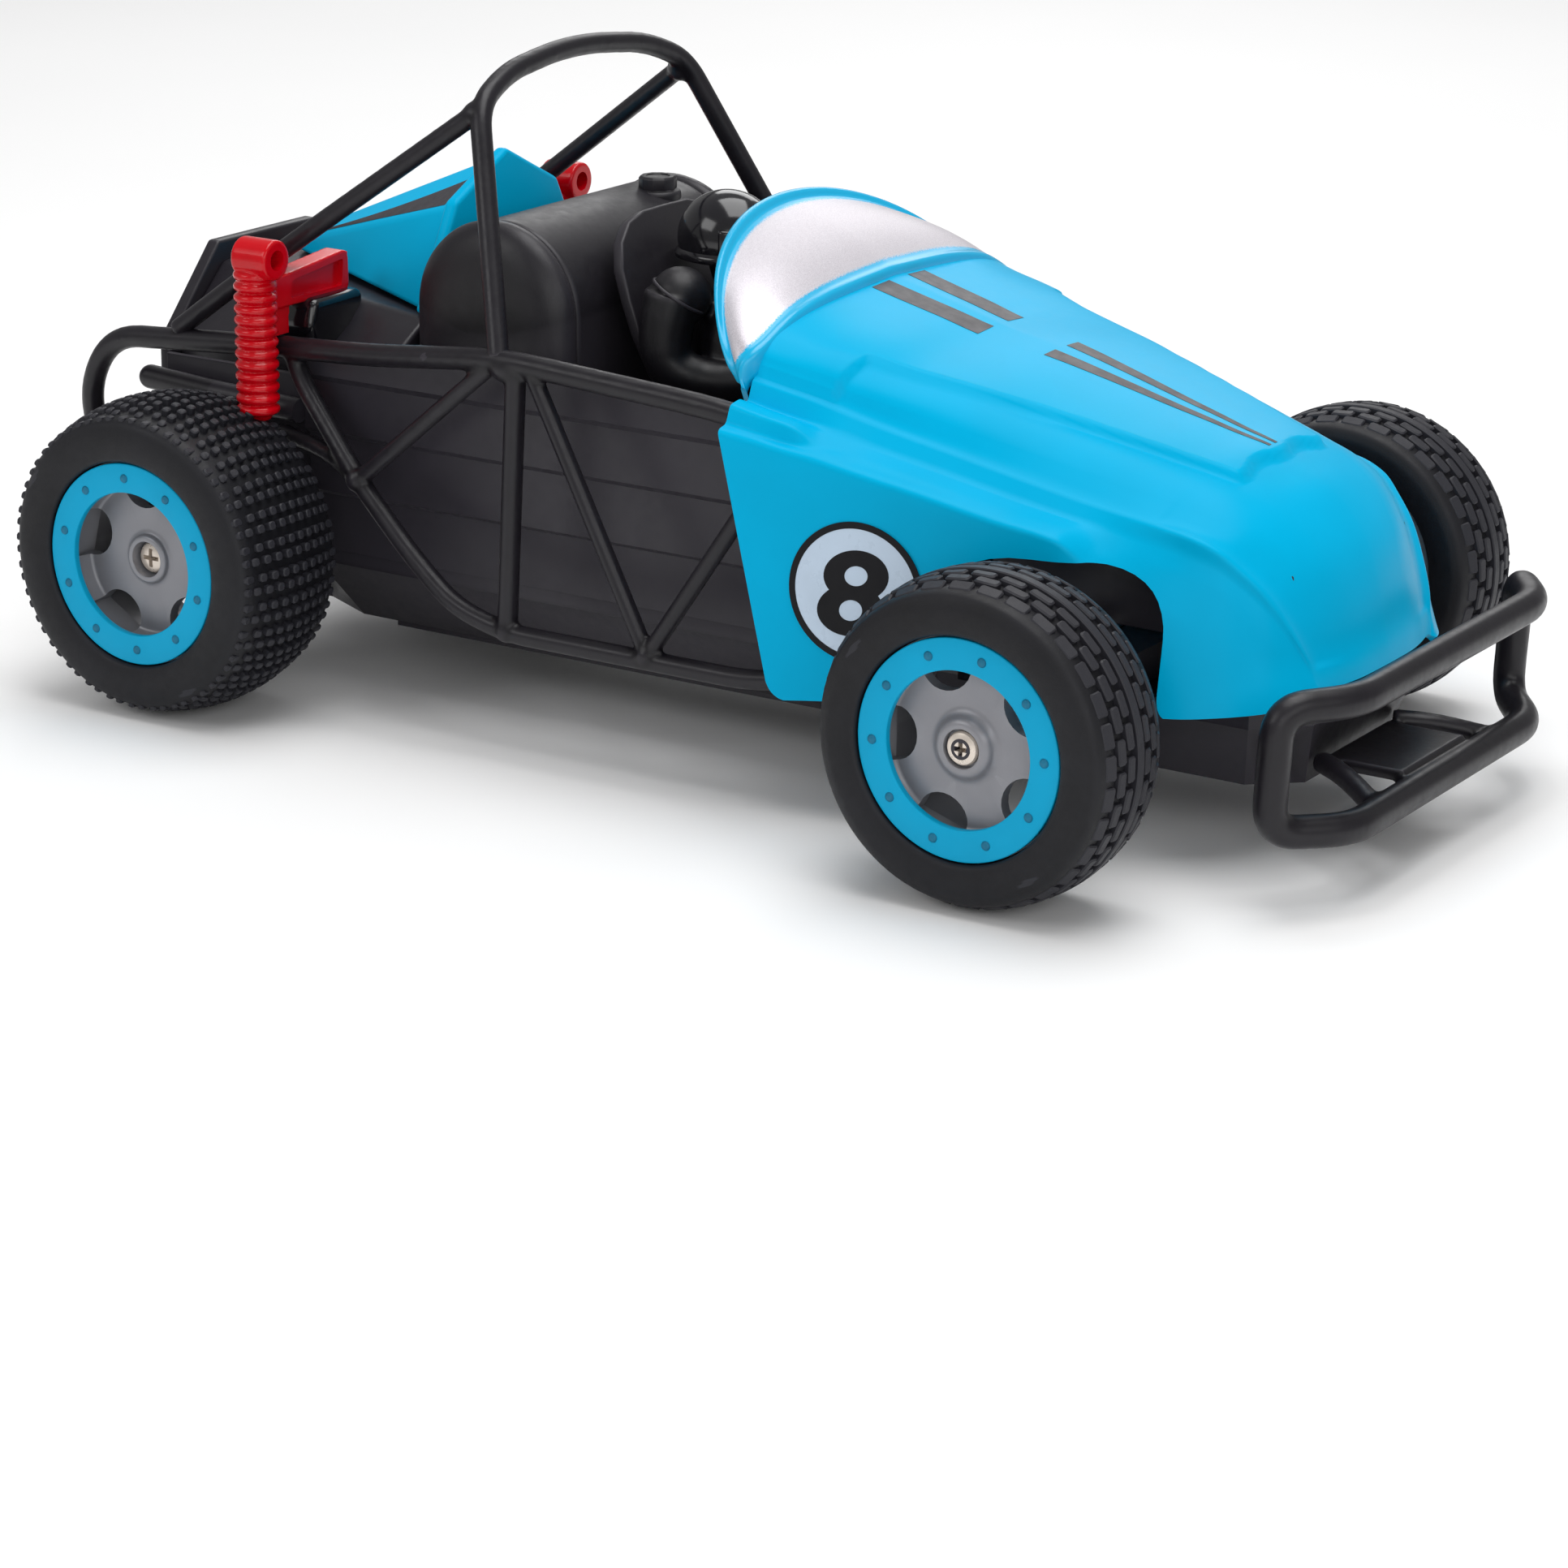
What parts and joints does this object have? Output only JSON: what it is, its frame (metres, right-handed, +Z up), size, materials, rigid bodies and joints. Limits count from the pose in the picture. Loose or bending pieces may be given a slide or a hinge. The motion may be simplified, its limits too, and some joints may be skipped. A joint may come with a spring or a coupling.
{
  "type": "remote control car",
  "caption": "Small remote control race car: tub chassis in a side tube cage, roll hoop, front hood shell, boat-tail cowl, steered front wheels and geared rear axle.",
  "frame": {"origin": "on the ground, at the middle of the bounding box seen from above", "axes": "+X forward to the bumper, +Y to the car's left, +Z up"},
  "size_m": [0.3059, 0.182, 0.139],
  "materials": {
    "blue_plastic": "gloss",
    "windscreen_paint": "gloss, sprayed silver-white",
    "black_plastic": "satin",
    "cockpit_black": "satin",
    "rim_grey": "satin metallic grey",
    "tyre_rubber": "matt",
    "red_plastic": "gloss",
    "helmet_black": "gloss",
    "nickel": "nickel plated",
    "steel": "plain",
    "brass": "plain",
    "nylon_white": "natural nylon",
    "motor_can": "plated",
    "battery_wrap": "shrink wrap",
    "board_green": "solder mask",
    "sticker": "printed film"
  },
  "bodies": {
    "chassis": {"body_shell": "blue_plastic", "tail_cowl": "blue_plastic", "windscreen": "windscreen_paint", "side_cage_right": "black_plastic", "side_panel_right": "black_plastic", "shock_right": "red_plastic", "side_cage_left": "black_plastic", "side_panel_left": "black_plastic", "shock_left": "red_plastic", "countershaft": "steel", "kingpins": "steel", "chassis_screws": "steel", "axle_bushes": "brass", "drive_motor": "motor_can", "gearbox_case": "black_plastic", "gearbox_cover": "black_plastic", "chassis_pan": "black_plastic", "switch_housing": "black_plastic", "front_beam": "black_plastic", "steering_servo": "black_plastic", "roll_hoop": "black_plastic", "front_bumper": "black_plastic", "rear_deck": "black_plastic", "exhaust_pipes": "black_plastic", "cockpit_floor": "black_plastic", "fuel_tank": "cockpit_black", "tank_end_caps": "cockpit_black", "filler_cap": "cockpit_black", "driver_seat": "cockpit_black", "driver_figure": "cockpit_black", "steering_wheel": "cockpit_black", "driver_helmet": "helmet_black", "battery_pack": "battery_wrap", "circuit_board": "board_green", "number_stickers": "sticker"},
    "rear_wheels": {"rear_axle": "steel", "axle_gear": "nylon_white", "tyre_rear_right": "tyre_rubber", "tyre_rear_left": "tyre_rubber", "rim_rear_right": "rim_grey", "rim_rear_left": "rim_grey", "bead_ring_rear_right": "blue_plastic", "bead_ring_rear_left": "blue_plastic", "rear_wheel_screws": "nickel"},
    "reduction_gear": {"counter_gear": "nylon_white"},
    "pinion": {"motor_pinion": "brass"},
    "knuckle_right": {"steering_knuckle_right": "black_plastic", "wheel_screw_front_right": "nickel"},
    "knuckle_left": {"steering_knuckle_left": "black_plastic", "wheel_screw_front_left": "nickel"},
    "front_wheel_right": {"tyre_front_right": "tyre_rubber", "rim_front_right": "rim_grey", "bead_ring_front_right": "blue_plastic"},
    "front_wheel_left": {"tyre_front_left": "tyre_rubber", "rim_front_left": "rim_grey", "bead_ring_front_left": "blue_plastic"},
    "track_rod": {"tie_rod": "black_plastic"},
    "steering_horn": {"servo_arm": "nylon_white"},
    "battery_cover": {"battery_door": "black_plastic"},
    "switch_knob": {"power_switch": "black_plastic"}
  },
  "joints": [
    {"name": "rear_wheels_spin", "type": "hinge", "parent": "chassis", "child": "rear_wheels", "pos_m": [-0.10934, 0, 0.0335], "axis": [0, 1, 0], "continuous": true},
    {"name": "reduction_gear_spin", "type": "hinge", "parent": "chassis", "child": "reduction_gear", "pos_m": [-0.09299, 0, 0.03945], "axis": [0, 1, 0], "continuous": true},
    {"name": "pinion_spin", "type": "hinge", "parent": "chassis", "child": "pinion", "pos_m": [-0.0785, 0, 0.03557], "axis": [0, 1, 0], "continuous": true},
    {"name": "steer_right", "type": "hinge", "parent": "chassis", "child": "knuckle_right", "pos_m": [0.09316, -0.06, 0.032], "axis": [0, 0, 1], "range_deg": [-20, 20]},
    {"name": "steer_left", "type": "hinge", "parent": "chassis", "child": "knuckle_left", "pos_m": [0.09316, 0.06, 0.032], "axis": [0, 0, 1], "range_deg": [-20, 20]},
    {"name": "track_rod_slide", "type": "slide", "parent": "chassis", "child": "track_rod", "axis": [0, 1, 0], "range_m": [-0.0042, 0.0042]},
    {"name": "servo_arm_swing", "type": "hinge", "parent": "chassis", "child": "steering_horn", "pos_m": [0.06916, 0, 0.034], "axis": [0, 0, 1], "range_deg": [-20.1, 20.1]},
    {"name": "front_right_wheel_spin", "type": "hinge", "parent": "knuckle_right", "child": "front_wheel_right", "pos_m": [0.09316, -0.0896, 0.032], "axis": [0, 1, 0], "continuous": true},
    {"name": "front_left_wheel_spin", "type": "hinge", "parent": "knuckle_left", "child": "front_wheel_left", "pos_m": [0.09316, 0.0896, 0.032], "axis": [0, 1, 0], "continuous": true},
    {"name": "battery_door_slide", "type": "slide", "parent": "chassis", "child": "battery_cover", "axis": [-1, 0, 0], "range_m": [0, 0.056]},
    {"name": "power_switch_slide", "type": "slide", "parent": "chassis", "child": "switch_knob", "axis": [1, 0, 0], "range_m": [0, 0.0052]}
  ],
  "couplings": [
    {"joint": "reduction_gear_spin", "follows": "rear_wheels_spin", "ratio": -3.1429},
    {"joint": "pinion_spin", "follows": "rear_wheels_spin", "ratio": 8.0816},
    {"joint": "steer_left", "follows": "steer_right", "ratio": 1},
    {"joint": "track_rod_slide", "follows": "steer_right", "m_per_rad": -0.01185},
    {"joint": "servo_arm_swing", "follows": "steer_right", "ratio": -1}
  ]
}
